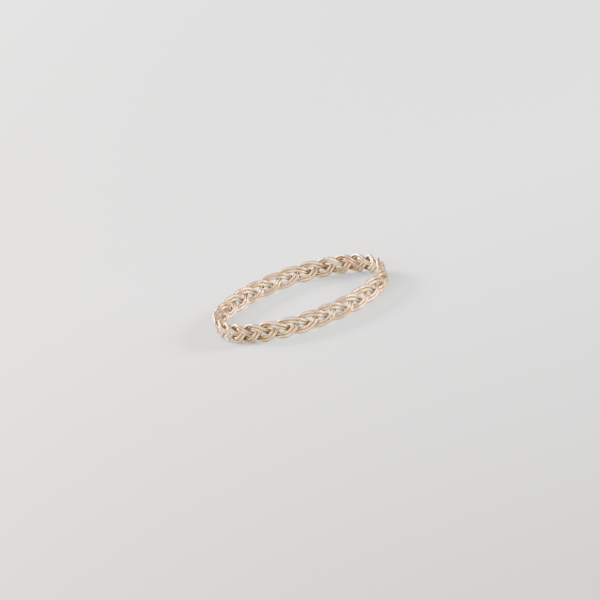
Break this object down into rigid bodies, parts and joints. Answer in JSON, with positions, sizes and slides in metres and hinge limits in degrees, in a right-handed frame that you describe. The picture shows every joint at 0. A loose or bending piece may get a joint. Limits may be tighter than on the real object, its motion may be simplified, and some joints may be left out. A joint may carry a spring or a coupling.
{
  "type": "braided ring",
  "caption": "Thin finger ring, a flat plait of paired round gold wires closed into a band, lying on its side.",
  "frame": {"origin": "on the finger's axis, at the height of the lowest point of the band, where the ring rests on its side", "axes": "+Z along the finger's axis and up from the surface; +Y towards the back of the ring as the picture shows it, with the solder patch between +X and +Y"},
  "size_m": [0.019, 0.019, 0.0021],
  "materials": {
    "gold": "polished pale rose gold",
    "solder": "polished gold solder, a little duller than the wires"
  },
  "bodies": {
    "root": {"strand_1_upper_wire": "gold", "strand_1_lower_wire": "gold", "strand_2_upper_wire": "gold", "strand_2_lower_wire": "gold", "strand_3_upper_wire": "gold", "strand_3_lower_wire": "gold", "solder_patch": "solder"}
  },
  "joints": []
}
